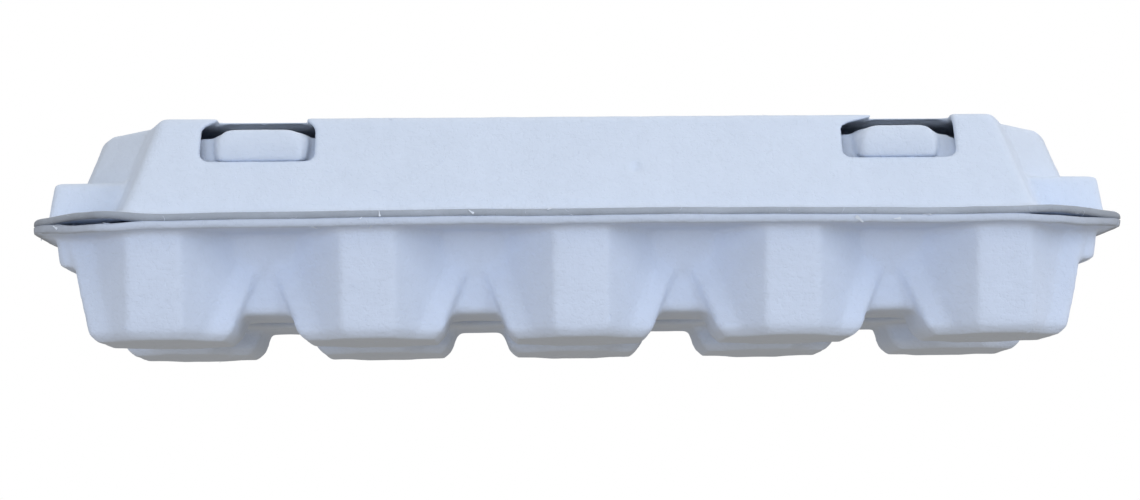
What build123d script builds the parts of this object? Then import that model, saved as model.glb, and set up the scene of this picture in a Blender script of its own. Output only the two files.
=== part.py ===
from build123d import *
import math
import os

os.makedirs("parts", exist_ok=True)

# Driving dimensions in millimetres
cell_pitch = 57.0
cells_long = 5
cells_deep = 2
wall = 1.8
tray_height = 31.0
carton_height = 60.5
rim_lip = 2.5
rim_wall = 2.2

# One egg cup: how far each side stands from the cup's centre at the floor and at the rim
side_floor = 19.6
side_rim = 31.2
front_floor = 23.0
front_rim = 28.0
end_floor = 18.8
end_rim = 25.4
facet_half = 7.2
facet_second = 6.3
facet_angle_first = 45.0
facet_angle_second = 12.0
foot_round = 2.2

# The flat web between the cups and the hollow posts that stand on it
web_underside = 7.3
web_reach = 4.0
web_reach_front = 10.0
post_foot_radius = 12.0
post_top_radius = 6.5
post_rise = 10.0

# The roof of each valley between two cups leans out to the rim
roof_foot = 17.5
roof_reach = 5.5
roof_half = 12.0

# Bosses on both ends
boss_setback = 16.5
boss_draft = 1.2
boss_round = 3.0
tray_boss_reach = 3.6
tray_boss_depth = 11.8
tray_boss_rise = 1.6
lid_boss_reach = 0.8
lid_boss_draft = 2.0
lid_boss_height = 13.0

# Rim corners and lid panels
rim_corner_long = 20.0
rim_corner_deep = 12.0
rim_corner_round = 8.0
lid_seat = 5.2
flap_room = 2.0
lid_front_lean = 11.5
lid_end_lean = 9.2
panel_step_long = 6.0
panel_step_deep = 17.0
lid_corner_long = 13.0
lid_corner_deep = 14.0
lid_shoulder_long = 3.0
lid_shoulder_deep = 8.0
lid_edge_round = 2.5
lid_corner_round = 3.0

# Latch windows in the lid and the locking flap behind them
window_centre = 87.0
window_width = 30.5
window_height = 12.5
window_top_cut = 7.0
window_undercut = 6.0
latch_gap = 0.3
flap_gap = 0.6
flap_wall = 1.6
flap_inset = 12.0
flap_taper = 4.0
flap_drop = 6.5
flap_round = 6.0
knob_root_width = 26.5
knob_face_width = 22.5
knob_shift = 0.9
knob_drop = 4.5
knob_proud = 1.2
knob_round = 4.5

# Cup centres
column_xs = [(i - (cells_long - 1) / 2) * cell_pitch for i in range(cells_long)]
row_ys = [(j - (cells_deep - 1) / 2) * cell_pitch for j in range(cells_deep)]
column_end = column_xs[-1]
row_end = row_ys[-1]
cup_places = [(x, y) for x in column_xs for y in row_ys]
post_xs = [(a + b) / 2 for a, b in zip(column_xs, column_xs[1:])]

# Sizes that follow from the cups
tray_end = column_end + end_rim
tray_front = row_end + front_rim
lid_end_rim = tray_end + lid_seat
lid_front_rim = tray_front + flap_room
lid_end_top = lid_end_rim - lid_end_lean
lid_front_top = lid_front_rim - lid_front_lean
lid_panel_rim = lid_end_rim - lid_shoulder_long - lid_corner_long - panel_step_long
lid_boss_end = lid_end_rim + lid_boss_reach
boss_half = lid_front_rim - boss_setback
boss_end = tray_end + tray_boss_reach
boss_foot = tray_height - tray_boss_depth
rim_end = lid_boss_end + rim_lip
rim_front = lid_front_rim + rim_lip
web_length = 2 * (column_end + web_reach)
web_depth = 2 * (row_end + web_reach_front)
post_top = tray_height + post_rise
rim_underside = tray_height - rim_wall
web_edge = row_end + web_reach_front
roof_slope = (rim_underside - roof_foot) / roof_reach
roof_thick = wall * math.hypot(1, roof_slope)
roof_inside_foot = roof_foot + roof_thick - wall * roof_slope
roof_inside_reach = (tray_height - roof_foot - roof_thick) / roof_slope


def corner_facets(across, along):
    # The two facets that turn from a front facet to a side facet, as three points
    first = across - facet_half - facet_second
    p0 = (facet_half, along)
    p1 = (p0[0] + first, along - first * math.tan(math.radians(facet_angle_first)))
    p2 = (across, p1[1] - facet_second * math.tan(math.radians(facet_angle_second)))
    return [p0, p1, p2]


def cup_points(left, right, near, far, x, y):
    # Twelve-sided outline of a cup about its centre, counter-clockwise
    near_right = [(px, -py) for px, py in corner_facets(right, near)]
    far_right = [(px, py) for px, py in reversed(corner_facets(right, far))]
    far_left = [(-px, py) for px, py in corner_facets(left, far)]
    near_left = [(-px, -py) for px, py in reversed(corner_facets(left, near))]
    outline = near_right + far_right + far_left + near_left
    return [(x + px, y + py) for px, py in outline]


def cup_extents(x, y, at_rim):
    # Outer walls stand steeper than the sides that face a neighbour
    side = side_rim if at_rim else side_floor
    end = end_rim if at_rim else end_floor
    front = front_rim if at_rim else front_floor
    left = end if x == column_xs[0] else side
    right = end if x == column_end else side
    near = front if y == row_ys[0] else side
    far = front if y == row_end else side
    return left, right, near, far


def all_quarters(quarter):
    # Mirrors one quarter of an outline, given from its front to its end, all round
    far_right = list(reversed(quarter))
    far_left = [(-px, py) for px, py in quarter]
    near_left = [(-px, -py) for px, py in reversed(quarter)]
    near_right = [(px, -py) for px, py in quarter]
    return near_right + far_right + far_left + near_left


def lid_points(front, end):
    # The front panel stands proud of the cut corner, and a shoulder turns to the end
    x1 = end - lid_shoulder_long
    x2 = x1 - lid_corner_long
    x3 = x2 - panel_step_long
    y1 = front - panel_step_deep
    y2 = y1 - lid_corner_deep
    y3 = y2 - lid_shoulder_deep
    return all_quarters([(x3, front), (x2, y1), (x1, y2), (end, y3)])


rim_points = all_quarters([(rim_end - rim_corner_long, rim_front), (rim_end, rim_front - rim_corner_deep)])
lid_rim_points = lid_points(lid_front_rim, lid_end_rim)
lid_top_points = lid_points(lid_front_top, lid_end_top)

with BuildPart() as tray_boss:
    # Solid of the boss on the right end, its floor rising outwards
    with BuildSketch(Plane.XZ):
        with BuildLine():
            Polyline(
                (column_end, boss_foot),
                (boss_end - boss_draft, boss_foot + tray_boss_rise),
                (boss_end, tray_height),
                (column_end, tray_height),
                close=True,
            )
        make_face()
    extrude(amount=boss_half, both=True)
    fillet(edges().filter_by(Plane.XZ).group_by(Axis.X)[-1], boss_round)

with BuildPart() as tray_boss_inside:
    # Hollow of the same boss, one wall in
    with BuildSketch(Plane.XZ):
        with BuildLine():
            Polyline(
                (column_end + web_reach - wall, boss_foot + wall),
                (boss_end - boss_draft - wall, boss_foot + tray_boss_rise + wall),
                (boss_end - wall, tray_height),
                (column_end + web_reach - wall, tray_height),
                close=True,
            )
        make_face()
    extrude(amount=boss_half - wall, both=True)
    fillet(edges().filter_by(Plane.XZ).group_by(Axis.X)[-1], boss_round - wall)

with BuildPart() as valley_roof:
    # Solid under the leaning roofs of one valley, at the front and at the back
    with BuildSketch(Plane.YZ.offset(-roof_half)):
        with BuildLine():
            Polyline(
                (web_edge - wall, roof_foot),
                (web_edge, roof_foot),
                (web_edge + roof_reach, rim_underside),
                (web_edge + roof_reach, tray_height),
                (web_edge - wall, tray_height),
                close=True,
            )
        make_face()
        mirror(about=Plane.YZ)
    extrude(amount=2 * roof_half)

with BuildPart() as valley_roof_inside:
    # Space over the same roofs, one wall in
    with BuildSketch(Plane.YZ.offset(wall - roof_half)):
        with BuildLine():
            Polyline(
                (web_edge - wall, roof_inside_foot),
                (web_edge + roof_inside_reach, tray_height),
                (web_edge - wall, tray_height),
                close=True,
            )
        make_face()
        mirror(about=Plane.YZ)
    extrude(amount=2 * (roof_half - wall))

with BuildPart() as tray:
    # Outsides of the cups, from the rounded foot to the rim
    for x, y in cup_places:
        with BuildSketch(Plane.XY):
            with BuildLine():
                Polyline(*cup_points(*cup_extents(x, y, False), x, y), close=True)
            make_face()
            offset(amount=-foot_round, kind=Kind.INTERSECTION, mode=Mode.REPLACE)
        with BuildSketch(Plane.XY.offset(foot_round)):
            with BuildLine():
                Polyline(*cup_points(*cup_extents(x, y, False), x, y), close=True)
            make_face()
        with BuildSketch(Plane.XY.offset(tray_height)):
            with BuildLine():
                Polyline(*cup_points(*cup_extents(x, y, True), x, y), close=True)
            make_face()
        loft(ruled=True)
    # The web that joins the cups
    with BuildSketch(Plane.XY.offset(web_underside)):
        Rectangle(web_length, web_depth)
    extrude(amount=tray_height - web_underside)
    # Valleys on the front and back close towards the rim
    with Locations(*[(x, 0, 0) for x in post_xs]):
        add(valley_roof.part)
    # A shallow boss across each end, under the rim
    add(tray_boss.part)
    add(mirror(tray_boss.part, Plane.YZ))
    # Flat rim all round
    with BuildSketch(Plane.XY.offset(rim_underside)):
        with BuildLine():
            Polyline(*rim_points, close=True)
        make_face()
        fillet(vertices(), rim_corner_round)
    extrude(amount=rim_wall)
    # Insides of the cups, one wall in from their outsides
    for x, y in cup_places:
        with BuildSketch(Plane.XY.offset(wall)):
            with BuildLine():
                Polyline(*cup_points(*cup_extents(x, y, False), x, y), close=True)
            make_face()
            offset(amount=-wall - foot_round, kind=Kind.INTERSECTION, mode=Mode.REPLACE)
        with BuildSketch(Plane.XY.offset(wall + foot_round)):
            with BuildLine():
                Polyline(*cup_points(*cup_extents(x, y, False), x, y), close=True)
            make_face()
            offset(amount=-wall, kind=Kind.INTERSECTION, mode=Mode.REPLACE)
        with BuildSketch(Plane.XY.offset(tray_height)):
            with BuildLine():
                Polyline(*cup_points(*cup_extents(x, y, True), x, y), close=True)
            make_face()
            offset(amount=-wall, kind=Kind.INTERSECTION, mode=Mode.REPLACE)
        loft(ruled=True, mode=Mode.SUBTRACT)
    # Open space above the web
    with BuildSketch(Plane.XY.offset(web_underside + wall)):
        Rectangle(web_length - 2 * wall, web_depth - 2 * wall)
    extrude(amount=tray_height, mode=Mode.SUBTRACT)
    # Open space over the valley roofs
    with Locations(*[(x, 0, 0) for x in post_xs]):
        add(valley_roof_inside.part, mode=Mode.SUBTRACT)
    # Insides of the end bosses
    add(tray_boss_inside.part, mode=Mode.SUBTRACT)
    add(mirror(tray_boss_inside.part, Plane.YZ), mode=Mode.SUBTRACT)
    # Hollow posts between each four cups
    with Locations(*[(x, 0, web_underside) for x in post_xs]):
        Cone(
            post_foot_radius,
            post_top_radius,
            post_top - web_underside,
            align=(Align.CENTER, Align.CENTER, Align.MIN),
        )
    with Locations(*[(x, 0, web_underside) for x in post_xs]):
        Cone(
            post_foot_radius - wall,
            post_top_radius - wall,
            post_top - web_underside - wall,
            align=(Align.CENTER, Align.CENTER, Align.MIN),
            mode=Mode.SUBTRACT,
        )

tray.part.label = "tray"
export_step(tray.part, "parts/tray.step")

lid_rise = carton_height - tray_height
window_sill = carton_height - window_height
window_back = lid_front_top - window_top_cut
front_slope = lid_front_lean / lid_rise
lid_boss_taper = math.degrees(math.atan(lid_boss_draft / lid_boss_height))

with BuildPart() as lid_boss:
    # One low block through the lid shows as a boss on both ends
    with BuildSketch(Plane.XY.offset(tray_height)):
        RectangleRounded(2 * lid_boss_end, 2 * boss_half, boss_round)
    extrude(amount=lid_boss_height, taper=lid_boss_taper)
    fillet(faces().sort_by(Axis.Z)[-1].edges(), boss_round / 2)

with BuildPart() as lid_boss_inside:
    # Its hollow, one wall in
    with BuildSketch(Plane.XY.offset(tray_height)):
        RectangleRounded(2 * (lid_boss_end - wall), 2 * (boss_half - wall), boss_round - wall)
    extrude(amount=lid_boss_height - wall, taper=lid_boss_taper)

with BuildPart() as lid:
    # Sloping panels and the flat top
    with BuildSketch(Plane.XY.offset(tray_height)):
        with BuildLine():
            Polyline(*lid_rim_points, close=True)
        make_face()
    with BuildSketch(Plane.XY.offset(carton_height)):
        with BuildLine():
            Polyline(*lid_top_points, close=True)
        make_face()
    loft(ruled=True)
    upright = edges().filter_by(lambda e: e.bounding_box().size.Z > lid_rise / 2)
    fillet(upright, lid_corner_round)
    fillet(faces().sort_by(Axis.Z)[-1].edges(), lid_edge_round)
    # A boss across each end, above the rim
    add(lid_boss.part)
    # Flat rim that lies on the tray's rim
    with BuildSketch(Plane.XY.offset(tray_height)):
        with BuildLine():
            Polyline(*rim_points, close=True)
        make_face()
        fillet(vertices(), rim_corner_round)
    extrude(amount=rim_wall)
    # Inside of the lid
    with BuildSketch(Plane.XY.offset(tray_height)):
        with BuildLine():
            Polyline(*lid_rim_points, close=True)
        make_face()
        offset(amount=-wall, kind=Kind.INTERSECTION, mode=Mode.REPLACE)
    with BuildSketch(Plane.XY.offset(carton_height - wall)):
        with BuildLine():
            Polyline(*lid_top_points, close=True)
        make_face()
        offset(amount=-wall, kind=Kind.INTERSECTION, mode=Mode.REPLACE)
    loft(ruled=True, mode=Mode.SUBTRACT)
    # Insides of the bosses
    add(lid_boss_inside.part, mode=Mode.SUBTRACT)
    # Two latch windows through the front panel's top edge, undercut at the back
    for window_x in (-window_centre, window_centre):
        with BuildSketch(Plane.YZ.offset(window_x - window_width / 2)):
            with BuildLine():
                Polyline(
                    (-lid_front_rim, window_sill),
                    (window_undercut - window_back, window_sill),
                    (window_undercut - window_back, carton_height - wall),
                    (-window_back, carton_height),
                    (-lid_front_rim, carton_height),
                    close=True,
                )
            make_face()
        extrude(amount=window_width, mode=Mode.SUBTRACT)

lid.part.label = "lid"
export_step(lid.part, "parts/lid.step")

# The flap stands inside the front panel, leaning back with it
panel_inside_rim = -lid_front_rim + wall * math.hypot(1, front_slope)
flap_outside_foot = panel_inside_rim + flap_gap
flap_rise = carton_height - flap_drop - tray_height
flap_plane = Plane(
    origin=(0, flap_outside_foot, tray_height),
    x_dir=(1, 0, 0),
    z_dir=(0, -1, front_slope),
)
flap_tall = flap_rise * math.hypot(1, front_slope)
flap_half = lid_panel_rim - flap_inset
knob_foot = window_sill + latch_gap
knob_height = carton_height - knob_drop - knob_foot
knob_face = lid_front_rim - front_slope * (knob_foot - tray_height) + knob_proud
knob_root = -flap_outside_foot - front_slope * flap_rise

with BuildPart() as locking_flap:
    # Leaning sheet
    with BuildSketch(flap_plane):
        with BuildLine():
            Polyline(
                (-flap_half, -wall),
                (flap_half, -wall),
                (flap_half - flap_taper, flap_tall),
                (-flap_half + flap_taper, flap_tall),
                close=True,
            )
        make_face()
        fillet(vertices().group_by(Axis.Y)[-1], flap_round)
    extrude(amount=-flap_wall)
    # Knobs that reach through the latch windows, narrower at their faces
    for knob_x in (knob_shift - window_centre, knob_shift + window_centre):
        with BuildSketch(Plane.XZ.offset(knob_root)):
            with Locations((knob_x, knob_foot + knob_height / 2)):
                Rectangle(knob_root_width, knob_height)
            fillet(vertices().group_by(Axis.Y)[-1], knob_round)
        with BuildSketch(Plane.XZ.offset(knob_face)):
            with Locations((knob_x, knob_foot + knob_height / 2)):
                Rectangle(knob_face_width, knob_height)
            fillet(vertices().group_by(Axis.Y)[-1], knob_round)
        loft()
    # The foot stands level on the tray's rim
    split(bisect_by=Plane.XY.offset(tray_height), keep=Keep.TOP)

locking_flap.part.label = "locking_flap"
export_step(locking_flap.part, "parts/locking_flap.step")
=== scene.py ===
# %% [markdown]
# # An egg carton of moulded pulp
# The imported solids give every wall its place: a tray of egg cups, a lid hinged on its back edge and a
# locking flap with two latch knobs. Real pulp is soft at every edge, a little wavy along its rims and
# rough all over, so this lesson keeps the solids' shapes and gives them that surface.

import math
from functools import partial

import bmesh
import bpy
from mathutils import Matrix, Vector, noise


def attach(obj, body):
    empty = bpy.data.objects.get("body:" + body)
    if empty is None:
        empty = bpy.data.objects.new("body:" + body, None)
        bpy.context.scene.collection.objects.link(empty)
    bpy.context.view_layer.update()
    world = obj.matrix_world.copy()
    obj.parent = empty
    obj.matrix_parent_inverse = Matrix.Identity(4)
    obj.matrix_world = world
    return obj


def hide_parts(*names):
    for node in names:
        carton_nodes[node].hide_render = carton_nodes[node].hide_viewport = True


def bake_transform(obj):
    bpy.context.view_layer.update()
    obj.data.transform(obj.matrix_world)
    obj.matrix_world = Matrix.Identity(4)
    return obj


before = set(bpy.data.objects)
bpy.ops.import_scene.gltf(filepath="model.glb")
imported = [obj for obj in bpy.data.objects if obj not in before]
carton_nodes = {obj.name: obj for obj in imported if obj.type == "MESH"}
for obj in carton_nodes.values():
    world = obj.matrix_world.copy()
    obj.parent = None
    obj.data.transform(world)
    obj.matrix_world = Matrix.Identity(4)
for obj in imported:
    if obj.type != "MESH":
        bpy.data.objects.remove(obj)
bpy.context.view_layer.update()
scene = bpy.context.scene
scene.view_settings.view_transform = "Standard"
print("nodes", sorted(carton_nodes))

# %% [markdown]
# ## Camera
# The photograph looks at the long front almost squarely, from a little below the cups' feet, so their
# undersides show. The place and the direction were worked out from the spacing of near and far cups.

# %% Camera
image_width_px = 1140
focal_px = 2327.0
sensor_width_mm = 36.0
camera_place = Vector((-0.0165, -0.6735, -0.0438))
view_direction = Vector((0.02205, 1.0, 0.10765)).normalized()
camera_roll = math.radians(-0.6)

camera_data = bpy.data.cameras.new("camera")
camera_data.sensor_fit = "HORIZONTAL"
camera_data.sensor_width = sensor_width_mm
camera_data.lens = focal_px / image_width_px * sensor_width_mm
camera_data.clip_start = 0.01
camera_data.clip_end = 20.0
camera = bpy.data.objects.new("camera", camera_data)
scene.collection.objects.link(camera)
aim = view_direction.to_track_quat("-Z", "Y").to_matrix()
camera.rotation_euler = (aim @ Matrix.Rotation(camera_roll, 3, "Z")).to_euler()
camera.location = camera_place
scene.camera = camera
print("lens", round(camera_data.lens, 2))

# %% [markdown]
# ## Light and floor
# Pulp has no gloss, so broad soft lamps are enough. Two cool ones from the front and the right do most of
# the work, as a bright window would, and a weak one low on the left lifts the shaded facets. Three warmer
# ones, above and beside, keep the light in balance, so that a colour renders about as it is written. The
# sky is a little warmer and darker below, where a room's floor would be.
#
# The floor lies under the feet. The camera is lower than that, so the floor's back is clear and only its
# upper side shows, and it takes no part in lighting the cups from below.

# %% Lamps
carton_middle = Vector((0.0, 0.0, 0.03))


def soft_lamp(name, place, size, watts, colour):
    """A round area lamp that looks at the middle of the carton."""
    data = bpy.data.lights.new(name, "AREA")
    data.shape = "DISK"
    data.size = size
    data.energy = watts
    data.color = colour
    lamp = bpy.data.objects.new(name, data)
    lamp.location = place
    lamp.rotation_euler = (carton_middle - Vector(place)).to_track_quat("-Z", "Y").to_euler()
    scene.collection.objects.link(lamp)
    return lamp


lamps = [
    soft_lamp("lamp_front", (-0.45, -1.55, 0.10), 1.0, 7.6, (0.77, 0.855, 1.0)),
    soft_lamp("lamp_right", (1.05, -0.85, 0.30), 0.9, 7.3, (0.84, 0.90, 1.0)),
    soft_lamp("lamp_left", (-0.95, -0.95, -0.10), 0.8, 1.7, (0.89, 0.91, 1.0)),
    soft_lamp("lamp_high", (0.0, -0.80, 1.25), 1.2, 2.2, (1.0, 0.93, 0.82)),
    soft_lamp("lamp_side", (1.20, 0.10, 0.60), 0.7, 1.8, (1.0, 0.86, 0.76)),
    soft_lamp("lamp_top", (0.0, 0.55, 1.30), 1.2, 6.0, (1.0, 0.99, 0.97)),
]
print("lamps", len(lamps), "watts", round(sum(lamp.data.energy for lamp in lamps), 1))

# %% World
sky_low_tone = (0.415, 0.375, 0.315, 1.0)
sky_high_tone = (0.455, 0.435, 0.40, 1.0)
sky_heights = (-0.6, 0.5)


def set_or_link(tree, socket, value):
    """Writes a plain number into a socket, or links another node's output to it."""
    if isinstance(value, (int, float)):
        socket.default_value = value
    else:
        tree.links.new(value, socket)


def ramp_node(tree, value, low, high, kind="LINEAR"):
    """0 up to low, 1 from high on."""
    node = tree.nodes.new("ShaderNodeMapRange")
    node.interpolation_type = kind
    tree.links.new(value, node.inputs["Value"])
    set_or_link(tree, node.inputs["From Min"], low)
    set_or_link(tree, node.inputs["From Max"], high)
    return node.outputs["Result"]


def split_node(tree, vector):
    node = tree.nodes.new("ShaderNodeSeparateXYZ")
    tree.links.new(vector, node.inputs["Vector"])
    return node.outputs["X"], node.outputs["Y"], node.outputs["Z"]


def mix_colour_node(tree, factor):
    node = tree.nodes.new("ShaderNodeMix")
    node.data_type = "RGBA"
    tree.links.new(factor, node.inputs["Factor"])
    return node


world = bpy.data.worlds.new("world")
scene.world = world
world.use_nodes = True
sky = world.node_tree
sky.nodes.clear()
sky_out = sky.nodes.new("ShaderNodeOutputWorld")
sky_mix = sky.nodes.new("ShaderNodeMixShader")
sky_light = sky.nodes.new("ShaderNodeBackground")
sky_white = sky.nodes.new("ShaderNodeBackground")
sky_path = sky.nodes.new("ShaderNodeLightPath")
sky_place = sky.nodes.new("ShaderNodeTexCoord")
sky_up = split_node(sky, sky_place.outputs["Generated"])[2]
sky_tone = mix_colour_node(sky, ramp_node(sky, sky_up, *sky_heights))
sky_tone.inputs["A"].default_value = sky_low_tone
sky_tone.inputs["B"].default_value = sky_high_tone
sky.links.new(sky_tone.outputs["Result"], sky_light.inputs["Color"])
sky_white.inputs["Color"].default_value = (1.0, 1.0, 1.0, 1.0)
sky_white.inputs["Strength"].default_value = 1.0
sky.links.new(sky_path.outputs["Is Camera Ray"], sky_mix.inputs["Fac"])
sky.links.new(sky_light.outputs["Background"], sky_mix.inputs[1])
sky.links.new(sky_white.outputs["Background"], sky_mix.inputs[2])
sky.links.new(sky_mix.outputs["Shader"], sky_out.inputs["Surface"])
print("sky nodes", len(sky.nodes))

# %% Floor
floor_half = 6.0
floor_height = -0.0006
floor_colour = (0.88, 0.89, 0.9, 1.0)
floor_corners = ((-1, -1), (1, -1), (1, 1), (-1, 1))

floor_mesh = bpy.data.meshes.new("floor")
floor_places = [(floor_half * x, floor_half * y, floor_height) for x, y in floor_corners]
floor_mesh.from_pydata(floor_places, [], [(0, 1, 2, 3)])
floor = bpy.data.objects.new("floor", floor_mesh)
scene.collection.objects.link(floor)
floor.visible_diffuse = False
floor.visible_glossy = False
floor.visible_transmission = False
floor.visible_shadow = False
floor_paint = bpy.data.materials.new("pale_floor")
floor_paint.use_nodes = True
paint = floor_paint.node_tree
floor_shader = paint.nodes["Principled BSDF"]
floor_shader.inputs["Base Color"].default_value = floor_colour
floor_shader.inputs["Roughness"].default_value = 1.0
floor_shader.inputs["Specular IOR Level"].default_value = 0.0
floor_side = paint.nodes.new("ShaderNodeNewGeometry")
floor_clear = paint.nodes.new("ShaderNodeBsdfTransparent")
floor_mix = paint.nodes.new("ShaderNodeMixShader")
paint.links.new(floor_side.outputs["Backfacing"], floor_mix.inputs["Fac"])
paint.links.new(floor_shader.outputs["BSDF"], floor_mix.inputs[1])
paint.links.new(floor_clear.outputs["BSDF"], floor_mix.inputs[2])
paint.links.new(floor_mix.outputs["Shader"], paint.nodes["Material Output"].inputs["Surface"])
floor_mesh.materials.append(floor_paint)
print("floor at", floor_height)

# %% [markdown]
# ## Pulp
# Moulded pulp is felted paper fibre. Up close it has fine pits and short raised fibres, further off a
# faint cloudy mottling where the slurry settled thicker. Along the rims' trimmed edge the colour is darker
# and patchy: painted shade, strongest on the lid, whose flange edge lies in shade. Towards the rims' ends
# that edge turns grey. All of it is one shader node group, so the tray, the lid and the flap share the
# recipe; the tray and the lid each set their own amounts, and the flap takes the lid's.

# %% Pulp node group
cloud_scale = 45.0
lump_scale = 230.0
fleck_scale = 620.0
grain_scale = 900.0
fibre_stretch = (160.0, 900.0, 900.0)
fibre_turn = (0.0, 0.3, 0.5)
fleck_range = (0.70, 0.80)
patch_range = (0.35, 0.65)
patch_least, patch_gain = 0.85, 0.3
rough_least, rough_gain = 0.75, 0.2
pit_range = (0.25, 0.5)
pit_height, strand_height, lump_height = 0.35, 0.35, 0.9
end_grey_reach = (0.118, 0.148)
end_grey_tone = (0.25, 0.26, 0.275, 1.0)


def math_node(tree, operation, *values):
    node = tree.nodes.new("ShaderNodeMath")
    node.operation = operation
    for socket, value in zip(node.inputs, values):
        set_or_link(tree, socket, value)
    return node.outputs["Value"]


def noise_node(tree, place, scale, detail, rough=0.5, distortion=0.0):
    node = tree.nodes.new("ShaderNodeTexNoise")
    tree.links.new(place, node.inputs["Vector"])
    set_or_link(tree, node.inputs["Scale"], scale)
    node.inputs["Detail"].default_value = detail
    node.inputs["Roughness"].default_value = rough
    node.inputs["Distortion"].default_value = distortion
    return node.outputs["Fac"]


def add_socket(group, name, way, kind, value=None):
    socket = group.interface.new_socket(name=name, in_out=way, socket_type=kind)
    if value is not None:
        socket.default_value = value
    return socket


def build_pulp_group():
    group = bpy.data.node_groups.new("pulp_felt", "ShaderNodeTree")
    add_socket(group, "Pulp Colour", "INPUT", "NodeSocketColor", (0.66, 0.72, 0.82, 1.0))
    for name, value in (("Mottle", 0.06), ("Fleck", 0.10), ("Trimmed Edge", 0.0), ("End Wear", 0.0)):
        add_socket(group, name, "INPUT", "NodeSocketFloat", value)
    add_socket(group, "Colour", "OUTPUT", "NodeSocketColor")
    add_socket(group, "Roughness", "OUTPUT", "NodeSocketFloat")
    add_socket(group, "Height", "OUTPUT", "NodeSocketFloat")
    link = group.links.new
    maths = partial(math_node, group)
    ramp = partial(ramp_node, group)
    taken = group.nodes.new("NodeGroupInput").outputs
    given = group.nodes.new("NodeGroupOutput").inputs
    place = group.nodes.new("ShaderNodeTexCoord").outputs["Object"]

    cloud = noise_node(group, place, cloud_scale, 3.0, 0.55)
    grain = noise_node(group, place, grain_scale, 3.0, 0.6, 0.4)
    lump = noise_node(group, place, lump_scale, 4.0, 0.6)
    fleck = noise_node(group, place, fleck_scale, 1.0, 0.5, 1.5)
    stretch = group.nodes.new("ShaderNodeMapping")
    stretch.inputs["Scale"].default_value = fibre_stretch
    stretch.inputs["Rotation"].default_value = fibre_turn
    link(place, stretch.inputs["Vector"])
    strand = noise_node(group, stretch.outputs["Vector"], 1.0, 2.0, 0.5, 0.8)

    cloudy = maths("MULTIPLY", maths("SUBTRACT", cloud, 0.5), taken["Mottle"])
    lumpy = maths("MULTIPLY", maths("SUBTRACT", lump, 0.5), taken["Mottle"])
    specks = maths("MULTIPLY", ramp(fleck, *fleck_range), taken["Fleck"])
    shade = maths("SUBTRACT", maths("ADD", maths("ADD", cloudy, lumpy), 1.0), specks)
    # Darker along the rims' trimmed edge, patchy with the clouds: painted shade for the shaded band of the
    # lid's flange edge.
    trim = group.nodes.new("ShaderNodeAttribute")
    trim.attribute_name = "trimmed"
    trimmed = trim.outputs["Fac"]
    patchy = maths("ADD", maths("MULTIPLY", ramp(cloud, *patch_range), patch_gain), patch_least)
    darker = maths("MULTIPLY", maths("MULTIPLY", trimmed, taken["Trimmed Edge"]), patchy)
    tint = group.nodes.new("ShaderNodeVectorMath")
    tint.operation = "SCALE"
    link(taken["Pulp Colour"], tint.inputs[0])
    link(maths("SUBTRACT", shade, darker), tint.inputs["Scale"])

    # The trimmed edge turns grey towards the rims' ends.
    along = split_node(group, place)[0]
    to_end = ramp(maths("ABSOLUTE", along), *end_grey_reach)
    end_grey_amount = maths("MULTIPLY", maths("MULTIPLY", trimmed, to_end), taken["End Wear"])
    end_grey_mix = mix_colour_node(group, end_grey_amount)
    link(tint.outputs["Vector"], end_grey_mix.inputs["A"])
    end_grey_mix.inputs["B"].default_value = end_grey_tone
    link(end_grey_mix.outputs["Result"], given["Colour"])

    link(maths("ADD", maths("MULTIPLY", grain, rough_gain), rough_least), given["Roughness"])
    pits = maths("MULTIPLY", ramp(grain, *pit_range), pit_height)
    felt = maths("ADD", pits, maths("MULTIPLY", strand, strand_height))
    link(maths("ADD", felt, maths("MULTIPLY", lump, lump_height)), given["Height"])
    return group


pulp_felt = build_pulp_group()
print("pulp group nodes", len(pulp_felt.nodes))

# %% Pulp materials
pulp_specular = 0.25
felt_depth = 0.0006


def pulp_material(name, colour, mottle, fleck, trimmed, end_grey_amount, bump):
    material = bpy.data.materials.new(name)
    material.use_nodes = True
    tree = material.node_tree
    shader = tree.nodes["Principled BSDF"]
    shader.inputs["Specular IOR Level"].default_value = pulp_specular
    felt = tree.nodes.new("ShaderNodeGroup")
    felt.node_tree = pulp_felt
    felt.inputs["Pulp Colour"].default_value = colour
    felt.inputs["Mottle"].default_value = mottle
    felt.inputs["Fleck"].default_value = fleck
    # This amount darkens the rims' trimmed edge. It is painted shade, set far stronger on the lid than on
    # the tray.
    felt.inputs["Trimmed Edge"].default_value = trimmed
    felt.inputs["End Wear"].default_value = end_grey_amount
    relief = tree.nodes.new("ShaderNodeBump")
    relief.inputs["Strength"].default_value = bump
    relief.inputs["Distance"].default_value = felt_depth
    tree.links.new(felt.outputs["Colour"], shader.inputs["Base Color"])
    tree.links.new(felt.outputs["Roughness"], shader.inputs["Roughness"])
    tree.links.new(felt.outputs["Height"], relief.inputs["Height"])
    tree.links.new(relief.outputs["Normal"], shader.inputs["Normal"])
    return material


# The tray's pulp colour is a little darker and bluer than the lid's: painted shade for the dimmer, cooler
# light on the tray's walls.
pulp_lid = pulp_material(
    "pulp_lid", (0.62, 0.704, 0.846, 1.0), mottle=0.07, fleck=0.06, trimmed=0.48, end_grey_amount=0.45, bump=0.45
)
pulp_tray = pulp_material(
    "pulp_tray", (0.60, 0.688, 0.856, 1.0), mottle=0.08, fleck=0.05, trimmed=0.14, end_grey_amount=0.65, bump=0.45
)
print("materials", pulp_lid.name, pulp_tray.name)

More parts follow.
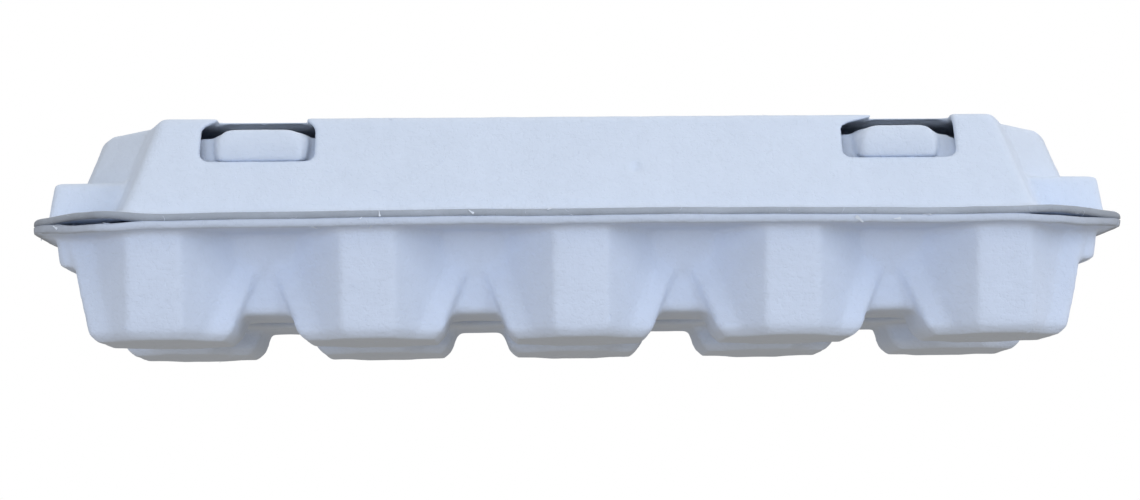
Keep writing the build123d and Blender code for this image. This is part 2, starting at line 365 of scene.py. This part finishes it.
# %% [markdown]
# ## Moulded walls
# A pulp wall has no sharp edge: slurry fills the corners and the sheet shrinks as it dries. Bevels on so
# many small facets would collide, so each wall is a copy of its solid, remeshed in small voxels and
# smoothed, which rounds inside and outside corners alike. The tray's valleys, where the slurry lies
# thickest, are smoothed further.
#
# A Geometry Nodes tree then moves the surface a little, as drying and use do. Each cell below adds one
# kind of movement: lumps and a dent, the rims' wave and trimmed edge, the lid's corners that lean in over
# the latch windows, and the locking flap that leans away from them. A wall that lacks one leaves it at 0.

# %% Start of the relief tree
relief_sizes = (
    ("Lump Height", 0.00035),
    ("Lump Scale", 110.0),
    ("Wave Height", 0.0011),
    ("Wave Scale", 22.0),
    ("Rim Reach", 0.009),
    ("Gape Left", 0.0),
    ("Gape Right", 0.0),
    ("Press", 0.0),
    ("Bow", 0.0),
    ("Left Outer Corner", 0.0),
    ("Left Inner Corner", 0.0),
    ("Right Inner Corner", 0.0),
    ("Right Outer Corner", 0.0),
    ("Sheet Lean", 0.0),
    ("Knob Tuck", 0.0),
    ("Sheet Lift", 0.0),
    ("Knob Lift", 0.0),
    ("Knob Drop", 0.0),
    ("Knob Trim", 0.0),
    ("Dent Depth", 0.0),
    ("Edge Nibble", 0.0007),
    ("Nibble Scale", 170.0),
)


class ReliefTree:
    """The tree while it is being built: its inputs, and the places that every part of it reads."""

    def __init__(self, name):
        self.tree = bpy.data.node_groups.new(name, "GeometryNodeTree")
        add_socket(self.tree, "Geometry", "INPUT", "NodeSocketGeometry")
        self.inputs = {}
        for size_name, value in relief_sizes:
            socket = add_socket(self.tree, size_name, "INPUT", "NodeSocketFloat", value)
            self.inputs[size_name] = socket.identifier
        add_socket(self.tree, "Geometry", "OUTPUT", "NodeSocketGeometry")
        self.taken = self.tree.nodes.new("NodeGroupInput").outputs
        self.given = self.tree.nodes.new("NodeGroupOutput").inputs
        self.position = self.tree.nodes.new("GeometryNodeInputPosition").outputs["Position"]
        self.normal = self.tree.nodes.new("GeometryNodeInputNormal").outputs["Normal"]
        self.x, self.y, self.z = split_node(self.tree, self.position)
        self.maths = partial(math_node, self.tree)
        self.out_x = self.maths("ABSOLUTE", self.x)
        self.out_y = self.maths("ABSOLUTE", self.y)

    def rise(self, value, low, high):
        """A soft step up from 0 to 1."""
        return ramp_node(self.tree, value, low, high, "SMOOTHSTEP")

    def fall(self, value, low, high):
        """A soft step down from 1 to 0."""
        return self.maths("SUBTRACT", 1.0, self.rise(value, low, high))


relief = ReliefTree("pulp_relief")
print("relief inputs", len(relief.inputs))

# %% Lumps all over, and one dent in the lid's front
dent_place = (0.0150, -0.0529, 0.0454)
dent_span = (0.0002, 0.0024)


def lumpy_shift(relief):
    """How far the surface moves along its own normal, as a vector."""
    tree, maths = relief.tree, relief.maths
    lumps = noise_node(tree, relief.position, relief.taken["Lump Scale"], 2.0)
    swell = maths("MULTIPLY", maths("SUBTRACT", lumps, 0.5), relief.taken["Lump Height"])
    to_dent = tree.nodes.new("ShaderNodeVectorMath")
    to_dent.operation = "DISTANCE"
    tree.links.new(relief.position, to_dent.inputs[0])
    to_dent.inputs[1].default_value = dent_place
    dented = relief.fall(to_dent.outputs["Value"], *dent_span)
    swell = maths("SUBTRACT", swell, maths("MULTIPLY", dented, relief.taken["Dent Depth"]))
    along_normal = tree.nodes.new("ShaderNodeVectorMath")
    along_normal.operation = "SCALE"
    tree.links.new(relief.normal, along_normal.inputs[0])
    tree.links.new(swell, along_normal.inputs["Scale"])
    return along_normal.outputs["Vector"]


surface_shift = lumpy_shift(relief)
print("lumps, dent at", dent_place)

# %% The rims' wave, bow, gaping ends and trimmed edge
rim_height = 0.031
rim_end = 0.1479
rim_front = 0.061
corner_cut_x = 0.020
corner_cut_y = 0.012
rim_corner = Vector((corner_cut_y, corner_cut_x)).normalized()
rim_corner_reach = rim_corner.dot(Vector((rim_end, rim_front - corner_cut_y)))
fold_fade = (0.048, 0.056)
gape_rise = (0.114, 0.126)
gape_fall = (0.134, 0.1445)
left_to_right = (-0.05, 0.05)
bow_fade = (0.02, 0.10)
trimmed_band = (-0.0022, -0.0012)
nibble_middle = 0.55


def rim_shift(relief):
    """The rims' lift, the trimmed edge's bite in x and y, and the mark of that edge."""
    tree, maths, taken = relief.tree, relief.maths, relief.taken
    from_rim = maths("ABSOLUTE", maths("SUBTRACT", relief.z, rim_height))
    near_rim = relief.fall(from_rim, 0.0, taken["Rim Reach"])
    free_edge = relief.fall(relief.y, *fold_fade)
    level = tree.nodes.new("ShaderNodeCombineXYZ")
    tree.links.new(relief.x, level.inputs["X"])
    tree.links.new(relief.y, level.inputs["Y"])
    waves = noise_node(tree, level.outputs["Vector"], taken["Wave Scale"], 1.0)
    wave = maths("MULTIPLY", maths("SUBTRACT", waves, 0.5), taken["Wave Height"])
    wave = maths("MULTIPLY", wave, free_edge)
    opening = maths("SUBTRACT", relief.rise(relief.out_x, *gape_rise), relief.rise(relief.out_x, *gape_fall))
    to_right = relief.rise(relief.x, *left_to_right)
    on_left = maths("MULTIPLY", taken["Gape Left"], maths("SUBTRACT", 1.0, to_right))
    on_right = maths("MULTIPLY", taken["Gape Right"], to_right)
    gape = maths("MULTIPLY", opening, maths("ADD", on_left, on_right))
    arched = relief.fall(relief.out_x, *bow_fade)
    bow = maths("MULTIPLY", taken["Bow"], maths("MULTIPLY", arched, free_edge))
    raised = maths("ADD", maths("ADD", wave, gape), maths("ADD", bow, taken["Press"]))
    lift = maths("MULTIPLY", raised, near_rim)

    along_corner = maths("MULTIPLY", relief.out_x, rim_corner.x)
    across = maths("ADD", along_corner, maths("MULTIPLY", relief.out_y, rim_corner.y))
    past_corner = maths("SUBTRACT", across, rim_corner_reach)
    past_end = maths("SUBTRACT", relief.out_x, rim_end)
    past_edge = maths("MAXIMUM", past_end, maths("SUBTRACT", relief.out_y, rim_front))
    past_rim = maths("MAXIMUM", past_edge, past_corner)
    trimmed = maths("MULTIPLY", near_rim, free_edge)
    trimmed = maths("MULTIPLY", relief.rise(past_rim, *trimmed_band), trimmed)
    crumbs = noise_node(tree, relief.position, taken["Nibble Scale"], 2.0)
    bite = maths("MULTIPLY", maths("SUBTRACT", crumbs, nibble_middle), taken["Edge Nibble"])
    bite = maths("MULTIPLY", bite, trimmed)
    facing_x, facing_y, _ = split_node(tree, relief.normal)
    return lift, maths("MULTIPLY", facing_x, bite), maths("MULTIPLY", facing_y, bite), trimmed


rim_lift, bite_x, bite_y, trimmed_mark = rim_shift(relief)
print("rim corner reach", round(rim_corner_reach, 4))

# %% The lid's corners over the latch windows
window_centre = 0.087
window_half = 0.01525
window_top = (0.0550, 0.0602)
window_back = (-0.0370, -0.0300)
corner_reach = 0.009
corner_curl = 3.0


def corner_shift(relief):
    """How far the sheet beside the windows leans over them, in x."""
    maths, taken = relief.maths, relief.taken

    def either(mask, if_one, if_zero):
        kept = maths("MULTIPLY", maths("SUBTRACT", 1.0, mask), if_zero)
        return maths("ADD", maths("MULTIPLY", mask, if_one), kept)

    past_centre = maths("SUBTRACT", relief.out_x, window_centre)
    past_side = maths("SUBTRACT", maths("ABSOLUTE", past_centre), window_half)
    by_side = relief.fall(past_side, 0.0, corner_reach)
    by_top = maths("POWER", relief.rise(relief.z, *window_top), corner_curl)
    by_front = relief.fall(relief.y, *window_back)
    pinch = maths("MULTIPLY", maths("MULTIPLY", by_side, by_top), by_front)
    is_outer = maths("GREATER_THAN", past_centre, 0.0)
    is_right = maths("GREATER_THAN", relief.x, 0.0)
    left_lean = either(is_outer, taken["Left Outer Corner"], taken["Left Inner Corner"])
    right_lean = either(is_outer, taken["Right Outer Corner"], taken["Right Inner Corner"])
    pinch = maths("MULTIPLY", pinch, either(is_right, right_lean, left_lean))
    share = maths("MINIMUM", maths("DIVIDE", past_centre, window_half), 1.0)
    outward = maths("MULTIPLY", maths("SIGN", relief.x), maths("MAXIMUM", share, -1.0))
    return maths("MULTIPLY", maths("MULTIPLY", outward, pinch), -1.0)


corner_x = corner_shift(relief)
print("windows at", window_centre)

# %% The leaning flap and its knobs
panel_rim = 0.0585
panel_slope = 0.0115 / 0.0295
knob_depth = (0.0008, 0.0024)
flap_lean_rise = (0.034, 0.050)
flap_lift_rise = (0.044, 0.054)
knob_tuck_rise = (0.0483, 0.0528)
trim_rise = (0.086, 0.097)
trim_fall = (0.102, 0.114)


def flap_shift(relief):
    """The sheet's lean and lift behind the lid's front panel, and the knobs' fit in the windows."""
    maths, taken = relief.maths, relief.taken
    over_rim = maths("SUBTRACT", relief.z, rim_height)
    panel = maths("SUBTRACT", maths("MULTIPLY", over_rim, panel_slope), panel_rim)
    on_sheet = relief.rise(maths("SUBTRACT", relief.y, panel), *knob_depth)
    upper = relief.rise(relief.z, *flap_lean_rise)
    lean = maths("MULTIPLY", maths("MULTIPLY", on_sheet, upper), taken["Sheet Lean"])
    under_knob = relief.fall(relief.z, *knob_tuck_rise)
    knob_foot = maths("MULTIPLY", under_knob, maths("SUBTRACT", 1.0, on_sheet))
    tuck = maths("MULTIPLY", knob_foot, taken["Knob Tuck"])
    drop = maths("MULTIPLY", knob_foot, taken["Knob Drop"])
    knob_end = maths("SUBTRACT", relief.rise(relief.x, *trim_rise), relief.rise(relief.x, *trim_fall))
    trim = maths("MULTIPLY", maths("MULTIPLY", knob_end, upper), taken["Knob Trim"])
    taller = maths("ADD", maths("MULTIPLY", on_sheet, taken["Sheet Lift"]), taken["Knob Lift"])
    taller = maths("MULTIPLY", taller, relief.rise(relief.z, *flap_lift_rise))
    return trim, maths("ADD", lean, tuck), maths("SUBTRACT", taller, drop)


knob_trim, flap_back, flap_up = flap_shift(relief)
print("flap leans from", flap_lean_rise[0])

# %% End of the relief tree
def finish_relief(relief):
    """Adds the movements up, marks the trimmed edge and moves the surface."""
    tree, maths, link = relief.tree, relief.maths, relief.tree.links.new
    shift = tree.nodes.new("ShaderNodeCombineXYZ")
    link(maths("ADD", bite_x, maths("SUBTRACT", corner_x, knob_trim)), shift.inputs["X"])
    link(maths("ADD", bite_y, flap_back), shift.inputs["Y"])
    link(maths("ADD", rim_lift, flap_up), shift.inputs["Z"])
    both = tree.nodes.new("ShaderNodeVectorMath")
    both.operation = "ADD"
    link(surface_shift, both.inputs[0])
    link(shift.outputs["Vector"], both.inputs[1])
    mark = tree.nodes.new("GeometryNodeStoreNamedAttribute")
    mark.data_type = "FLOAT"
    mark.domain = "POINT"
    mark.inputs["Name"].default_value = "trimmed"
    link(trimmed_mark, mark.inputs["Value"])
    link(relief.taken["Geometry"], mark.inputs["Geometry"])
    place = tree.nodes.new("GeometryNodeSetPosition")
    link(mark.outputs["Geometry"], place.inputs["Geometry"])
    link(both.outputs["Vector"], place.inputs["Offset"])
    link(place.outputs["Geometry"], relief.given["Geometry"])


finish_relief(relief)
print("relief nodes", len(relief.tree.nodes))

# %% Remeshed copies of the solids
weld_distance = 1e-6
wall_voxel = 0.0009
flap_voxel = 0.8 * wall_voxel


def baked_mesh(piece):
    bpy.context.view_layer.update()
    return bpy.data.meshes.new_from_object(piece.evaluated_get(bpy.context.evaluated_depsgraph_get()))


def voxel_copy(node_name, piece_name, voxel):
    """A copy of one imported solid, welded and remeshed in small voxels."""
    mesh = bpy.data.meshes.new(piece_name)
    shape = bmesh.new()
    shape.from_mesh(carton_nodes[node_name].data)
    bmesh.ops.remove_doubles(shape, verts=shape.verts, dist=weld_distance)
    shape.to_mesh(mesh)
    shape.free()
    piece = bpy.data.objects.new(piece_name, mesh)
    scene.collection.objects.link(piece)
    voxels = piece.modifiers.new("voxels", "REMESH")
    voxels.mode = "VOXEL"
    voxels.voxel_size = voxel
    piece.data = baked_mesh(piece)
    piece.modifiers.clear()
    print(piece_name, "vertices", len(piece.data.vertices))
    return piece


tray = voxel_copy("tray", "tray_pulp", wall_voxel)
lid = voxel_copy("lid", "lid_pulp", wall_voxel)
flap = voxel_copy("locking_flap", "flap_pulp", flap_voxel)

# %% Soft edges and valleys
wall_rounds = 5
flap_rounds = 18
parting_depth = 0.004
parting_back = 0.05
parting_half = 0.0008
parting_weight = 0.12
valley_rounds = 14
valley_centres = (0.0285, 0.0855)
valley_half = 0.0125
valley_front = 0.036
valley_heights = (0.0045, 0.026)


def on_parting_edge(place):
    """True by the line where the two rims meet, at the front and the ends."""
    out_x, out_y = abs(place.x), abs(place.y)
    past_corner = rim_corner.dot(Vector((out_x, out_y))) - rim_corner_reach
    past_rim = max(out_x - rim_end, out_y - rim_front, past_corner)
    on_line = abs(place.z - rim_height) < parting_half
    return past_rim > -parting_depth and place.y < parting_back and on_line


def in_valley(place):
    """True in the valleys between neighbouring cups, on the tray's long sides."""
    beside = min(abs(abs(place.x) - centre) for centre in valley_centres)
    low, high = valley_heights
    return beside < valley_half and abs(place.y) > valley_front and low < place.z < high


def smooth_group(piece, group, rounds):
    smooth = piece.modifiers.new(group.name, "SMOOTH")
    smooth.factor = 0.5
    smooth.iterations = rounds
    smooth.vertex_group = group.name


for piece, rounds in ((tray, wall_rounds), (lid, wall_rounds), (flap, flap_rounds)):
    edges = piece.vertex_groups.new(name="edges")
    for vertex in piece.data.vertices:
        edges.add([vertex.index], parting_weight if on_parting_edge(vertex.co) else 1.0, "REPLACE")
    smooth_group(piece, edges, rounds)
valley_vertices = [vertex.index for vertex in tray.data.vertices if in_valley(vertex.co)]
valleys = tray.vertex_groups.new(name="valleys")
valleys.add(valley_vertices, 1.0, "REPLACE")
smooth_group(tray, valleys, valley_rounds)
print("valley vertices", len(valley_vertices))

# %% Relief on the tray, the lid and the flap
tray_amounts = {
    "Lump Height": 0.0004,
    "Gape Left": -0.0008,
    "Gape Right": -0.0005,
    "Press": 0.00015,
    "Bow": 0.0006,
}
lid_amounts = {
    "Lump Height": 0.0003,
    "Gape Left": 0.0009,
    "Gape Right": 0.0005,
    "Press": -0.00015,
    "Bow": 0.0006,
    "Left Outer Corner": 0.0042,
    "Left Inner Corner": 0.0026,
    "Right Inner Corner": 0.0090,
    "Right Outer Corner": 0.0004,
    "Dent Depth": 0.0009,
}
flap_amounts = {
    "Lump Height": 0.0003,
    "Sheet Lean": 0.0022,
    "Sheet Lift": 0.0012,
    "Knob Tuck": 0.0012,
    "Knob Lift": 0.0006,
    "Knob Drop": 0.0007,
    "Knob Trim": 0.0026,
}


def finish_wall(piece, material, amounts, most_triangles):
    """Adds the relief and turns the piece into a plain mesh of at most so many triangles."""
    rough = piece.modifiers.new("relief", "NODES")
    rough.node_group = relief.tree
    for name, value in amounts.items():
        rough[relief.inputs[name]] = value
    dense = baked_mesh(piece)
    triangles = sum(len(face.vertices) - 2 for face in dense.polygons)
    piece.modifiers.clear()
    piece.vertex_groups.clear()
    piece.data = dense
    if triangles > most_triangles:
        thin = piece.modifiers.new("thin", "DECIMATE")
        thin.ratio = most_triangles / triangles
        piece.data = baked_mesh(piece)
        piece.modifiers.clear()
    piece.data.name = piece.name
    piece.data.materials.clear()
    piece.data.materials.append(material)
    piece.data.polygons.foreach_set("use_smooth", [True] * len(piece.data.polygons))
    print(piece.name, "triangles", triangles, "kept", len(piece.data.polygons))


finish_wall(tray, pulp_tray, tray_amounts, most_triangles=190000)
finish_wall(lid, pulp_lid, lid_amounts, most_triangles=150000)
finish_wall(flap, pulp_lid, flap_amounts, most_triangles=60000)
for piece, node_name, body, slot_name in (
    (tray, "tray", "tray", "pulp_tray"),
    (flap, "locking_flap", "tray", "pulp_flap"),
    (lid, "lid", "lid", "pulp_lid"),
):
    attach(piece, body)
    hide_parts(node_name)

# %% [markdown]
# ## Back fold
# The tray and the lid are moulded in one sheet, and the hinge is only a pressed fold along the back. It
# is a narrow sheet that wraps both rims there.

# %% Section of the back fold
fold_half = 0.122
fold_back = 0.0590
fold_reach = 0.00205
fold_rise = 0.0024
fold_sheet = 0.0007
fold_steps = 180
fold_arc = 10
fold_sweep = (math.radians(-85.0), math.radians(85.0))
ripple_height = 0.00016
ripple_scale = 120.0
ripple_row = 3.7


def fold_section(x):
    """Outline of the folded sheet at one place along the hinge."""
    ripple = ripple_height * noise.noise(Vector((ripple_scale * x, 0.0, ripple_row)))
    start, end = fold_sweep
    angles = [start + (end - start) * j / fold_arc for j in range(fold_arc + 1)]
    outer = [(fold_reach + ripple, fold_rise + ripple, angle) for angle in angles]
    inner = [(reach - fold_sheet, rise - fold_sheet, angle) for reach, rise, angle in reversed(outer)]
    return [
        (x, fold_back + reach * math.cos(angle), rim_height + rise * math.sin(angle))
        for reach, rise, angle in outer + inner
    ]


print("fold section points", len(fold_section(0.0)))


def bridge_rings(shape, rings):
    """Joins each ring of vertices to the next one, all the way round."""
    for ring, following in zip(rings, rings[1:]):
        for j in range(len(ring)):
            k = (j + 1) % len(ring)
            shape.faces.new((ring[j], ring[k], following[k], following[j]))


def finished_mesh(shape, name):
    bmesh.ops.recalc_face_normals(shape, faces=shape.faces)
    mesh = bpy.data.meshes.new(name)
    shape.to_mesh(mesh)
    shape.free()
    return mesh


fold_shape = bmesh.new()
fold_rings = []
for i in range(fold_steps + 1):
    section = fold_section(fold_half * (2.0 * i / fold_steps - 1.0))
    fold_rings.append([fold_shape.verts.new(place) for place in section])
bridge_rings(fold_shape, fold_rings)
for ring in (fold_rings[0], fold_rings[-1]):
    for j in range(fold_arc):
        fold_shape.faces.new((ring[j], ring[j + 1], ring[-2 - j], ring[-1 - j]))
fold_mesh = finished_mesh(fold_shape, "back_fold")
fold_mesh.polygons.foreach_set("use_smooth", [True] * len(fold_mesh.polygons))
pulp_fold = pulp_material(
    "pulp_fold", (0.60, 0.685, 0.84, 1.0), mottle=0.16, fleck=0.05, trimmed=0.0, end_grey_amount=0.0, bump=0.7
)
fold_mesh.materials.append(pulp_fold)
fold = bpy.data.objects.new("back_fold", fold_mesh)
scene.collection.objects.link(fold)
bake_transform(fold)
print("fold faces", len(fold_mesh.polygons))

# %% [markdown]
# ## Loose fibres and torn flakes
# A few fibres never felt down flat, most of them where the rims were trimmed, and there the press has
# also torn small pale flakes out of the edge. One bent fibre and one flake are scattered over each wall
# by Geometry Nodes: the fibres all over, with more where the wall's "trimmed" mark is high, the flakes
# only there.

# %% One fibre
fibre_length = 0.0028
fibre_radius = 0.00006
fibre_tip, fibre_belly = 0.35, 0.65
fibre_sway = 0.16 * fibre_length
fibre_bends = 4.2
fibre_foot = 0.00003
fibre_lift = 0.00022
fibre_steps = 7
fibre_corners = 3


def fibre_mesh():
    """A thin bent hair, thickest in its middle, that lifts off the wall towards one end."""
    shape = bmesh.new()
    rings = []
    for i in range(fibre_steps + 1):
        along = i / fibre_steps
        radius = fibre_radius * (fibre_tip + fibre_belly * math.sin(math.pi * along))
        sideways = fibre_sway * math.sin(fibre_bends * along)
        upwards = fibre_foot + fibre_lift * along * along
        middle = Vector((fibre_length * (along - 0.5), sideways, upwards))
        ring = []
        for corner in range(fibre_corners):
            angle = 2.0 * math.pi * corner / fibre_corners
            offset = Vector((0.0, radius * math.cos(angle), radius * math.sin(angle)))
            ring.append(shape.verts.new(middle + offset))
        rings.append(ring)
    bridge_rings(shape, rings)
    shape.faces.new(rings[0])
    shape.faces.new(rings[-1])
    return finished_mesh(shape, "fibre")


fibre = bpy.data.objects.new("fibre", fibre_mesh())
scene.collection.objects.link(fibre)
print("fibre faces", len(fibre.data.polygons))

# %% One flake
flake_length = 0.0028
flake_width = 0.0009
flake_taper = 0.97
flake_wobble = 0.25
flake_waves = 9.0
flake_sheet = 0.00012
flake_curl = 0.0003
flake_steps = 6


def flake_mesh():
    """A thin torn strip, pointed at one end, that lifts off the wall towards its point."""
    shape = bmesh.new()
    rings = []
    for i in range(flake_steps + 1):
        along = i / flake_steps
        ragged = 1.0 + flake_wobble * math.sin(flake_waves * along)
        half = 0.5 * flake_width * math.sqrt(1.0 - flake_taper * along) * ragged
        middle = Vector((flake_length * (along - 0.5), 0.0, flake_curl * along * along))
        corners = ((-half, 0.0), (half, 0.0), (half, flake_sheet), (-half, flake_sheet))
        rings.append([shape.verts.new(middle + Vector((0.0, side, up))) for side, up in corners])
    bridge_rings(shape, rings)
    shape.faces.new(rings[0])
    shape.faces.new(rings[-1])
    return finished_mesh(shape, "flake")


flake = bpy.data.objects.new("flake", flake_mesh())
scene.collection.objects.link(flake)
print("flake faces", len(flake.data.polygons))

# %% Scatter tree
least_bit, largest_bit = 0.35, 1.0


def random_node(tree, seed, low, high):
    node = tree.nodes.new("FunctionNodeRandomValue")
    node.data_type = "FLOAT"
    node.inputs["Min"].default_value = low
    node.inputs["Max"].default_value = high
    tree.links.new(seed, node.inputs["Seed"])
    return node.outputs["Value"]


def build_scatter_tree():
    """Lays copies of one small bit on a wall, each turned about the wall's normal and scaled."""
    tree = bpy.data.node_groups.new("loose_bits", "GeometryNodeTree")
    add_socket(tree, "Geometry", "INPUT", "NodeSocketGeometry")
    named = {}
    for name, kind, value in (
        ("Wall", "NodeSocketObject", None),
        ("Bit", "NodeSocketObject", None),
        ("Density", "NodeSocketFloat", 2500.0),
        ("Edge Density", "NodeSocketFloat", 20000.0),
        ("Seed", "NodeSocketInt", 1),
        ("Material", "NodeSocketMaterial", None),
    ):
        named[name] = add_socket(tree, name, "INPUT", kind, value).identifier
    add_socket(tree, "Geometry", "OUTPUT", "NodeSocketGeometry")
    nodes = tree.nodes
    link = tree.links.new
    taken = nodes.new("NodeGroupInput").outputs
    given = nodes.new("NodeGroupOutput").inputs
    wall = nodes.new("GeometryNodeObjectInfo")
    bit = nodes.new("GeometryNodeObjectInfo")
    link(taken["Wall"], wall.inputs["Object"])
    link(taken["Bit"], bit.inputs["Object"])
    mark = nodes.new("GeometryNodeInputNamedAttribute")
    mark.data_type = "FLOAT"
    mark.inputs["Name"].default_value = "trimmed"
    trimmed = mark.outputs["Attribute"]
    scatter = nodes.new("GeometryNodeDistributePointsOnFaces")
    link(wall.outputs["Geometry"], scatter.inputs["Mesh"])
    density = math_node(tree, "MULTIPLY_ADD", trimmed, taken["Edge Density"], taken["Density"])
    link(density, scatter.inputs["Density"])
    link(taken["Seed"], scatter.inputs["Seed"])
    about = nodes.new("ShaderNodeCombineXYZ")
    link(random_node(tree, taken["Seed"], 0.0, 2.0 * math.pi), about.inputs["Z"])
    turn = nodes.new("FunctionNodeEulerToRotation")
    link(about.outputs["Vector"], turn.inputs["Euler"])
    lay = nodes.new("FunctionNodeRotateRotation")
    lay.rotation_space = "LOCAL"
    link(scatter.outputs["Rotation"], lay.inputs["Rotation"])
    link(turn.outputs["Rotation"], lay.inputs["Rotate By"])
    plant = nodes.new("GeometryNodeInstanceOnPoints")
    link(scatter.outputs["Points"], plant.inputs["Points"])
    link(bit.outputs["Geometry"], plant.inputs["Instance"])
    link(lay.outputs["Rotation"], plant.inputs["Rotation"])
    link(random_node(tree, taken["Seed"], least_bit, largest_bit), plant.inputs["Scale"])
    whole = nodes.new("GeometryNodeRealizeInstances")
    link(plant.outputs["Instances"], whole.inputs["Geometry"])
    paint = nodes.new("GeometryNodeSetMaterial")
    link(whole.outputs["Geometry"], paint.inputs["Geometry"])
    link(taken["Material"], paint.inputs["Material"])
    link(paint.outputs["Geometry"], given["Geometry"])
    return tree, named


scatter_tree, scatter_inputs = build_scatter_tree()
print("scatter nodes", len(scatter_tree.nodes))

# %% Fibres and flakes on the tray and the lid
fibre_density = 2500.0
fibre_edge_density = 20000.0
flake_density = 0.0
flake_edge_density = 3500.0
tray_seed = 11
lid_seed = 12
pulp_fibre = pulp_material(
    "pulp_fibre", (0.67, 0.74, 0.85, 1.0), mottle=0.5, fleck=0.0, trimmed=0.0, end_grey_amount=0.0, bump=0.1
)


def loose_bits(name, wall, bit, density, edge_density, seed):
    bits = bpy.data.objects.new(name, bpy.data.meshes.new(name))
    scene.collection.objects.link(bits)
    scatter = bits.modifiers.new("bits", "NODES")
    scatter.node_group = scatter_tree
    for socket, value in (
        ("Wall", wall),
        ("Bit", bit),
        ("Density", density),
        ("Edge Density", edge_density),
        ("Seed", seed),
        ("Material", pulp_fibre),
    ):
        scatter[scatter_inputs[socket]] = value
    bits.data = baked_mesh(bits)
    bits.modifiers.clear()
    bits.data.name = name
    print(name, "faces", len(bits.data.polygons))
    return bits


for wall, body, slot_name, seed in (
    (tray, "tray", "pulp_tray", tray_seed),
    (lid, "lid", "pulp_lid", lid_seed),
):
    fibres = loose_bits(body + "_fibres", wall, fibre, fibre_density, fibre_edge_density, seed)
    flakes = loose_bits(body + "_flakes", wall, flake, flake_density, flake_edge_density, seed)
    for piece in (fibres, flakes):
        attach(piece, body)
bpy.data.objects.remove(fibre)
bpy.data.objects.remove(flake)
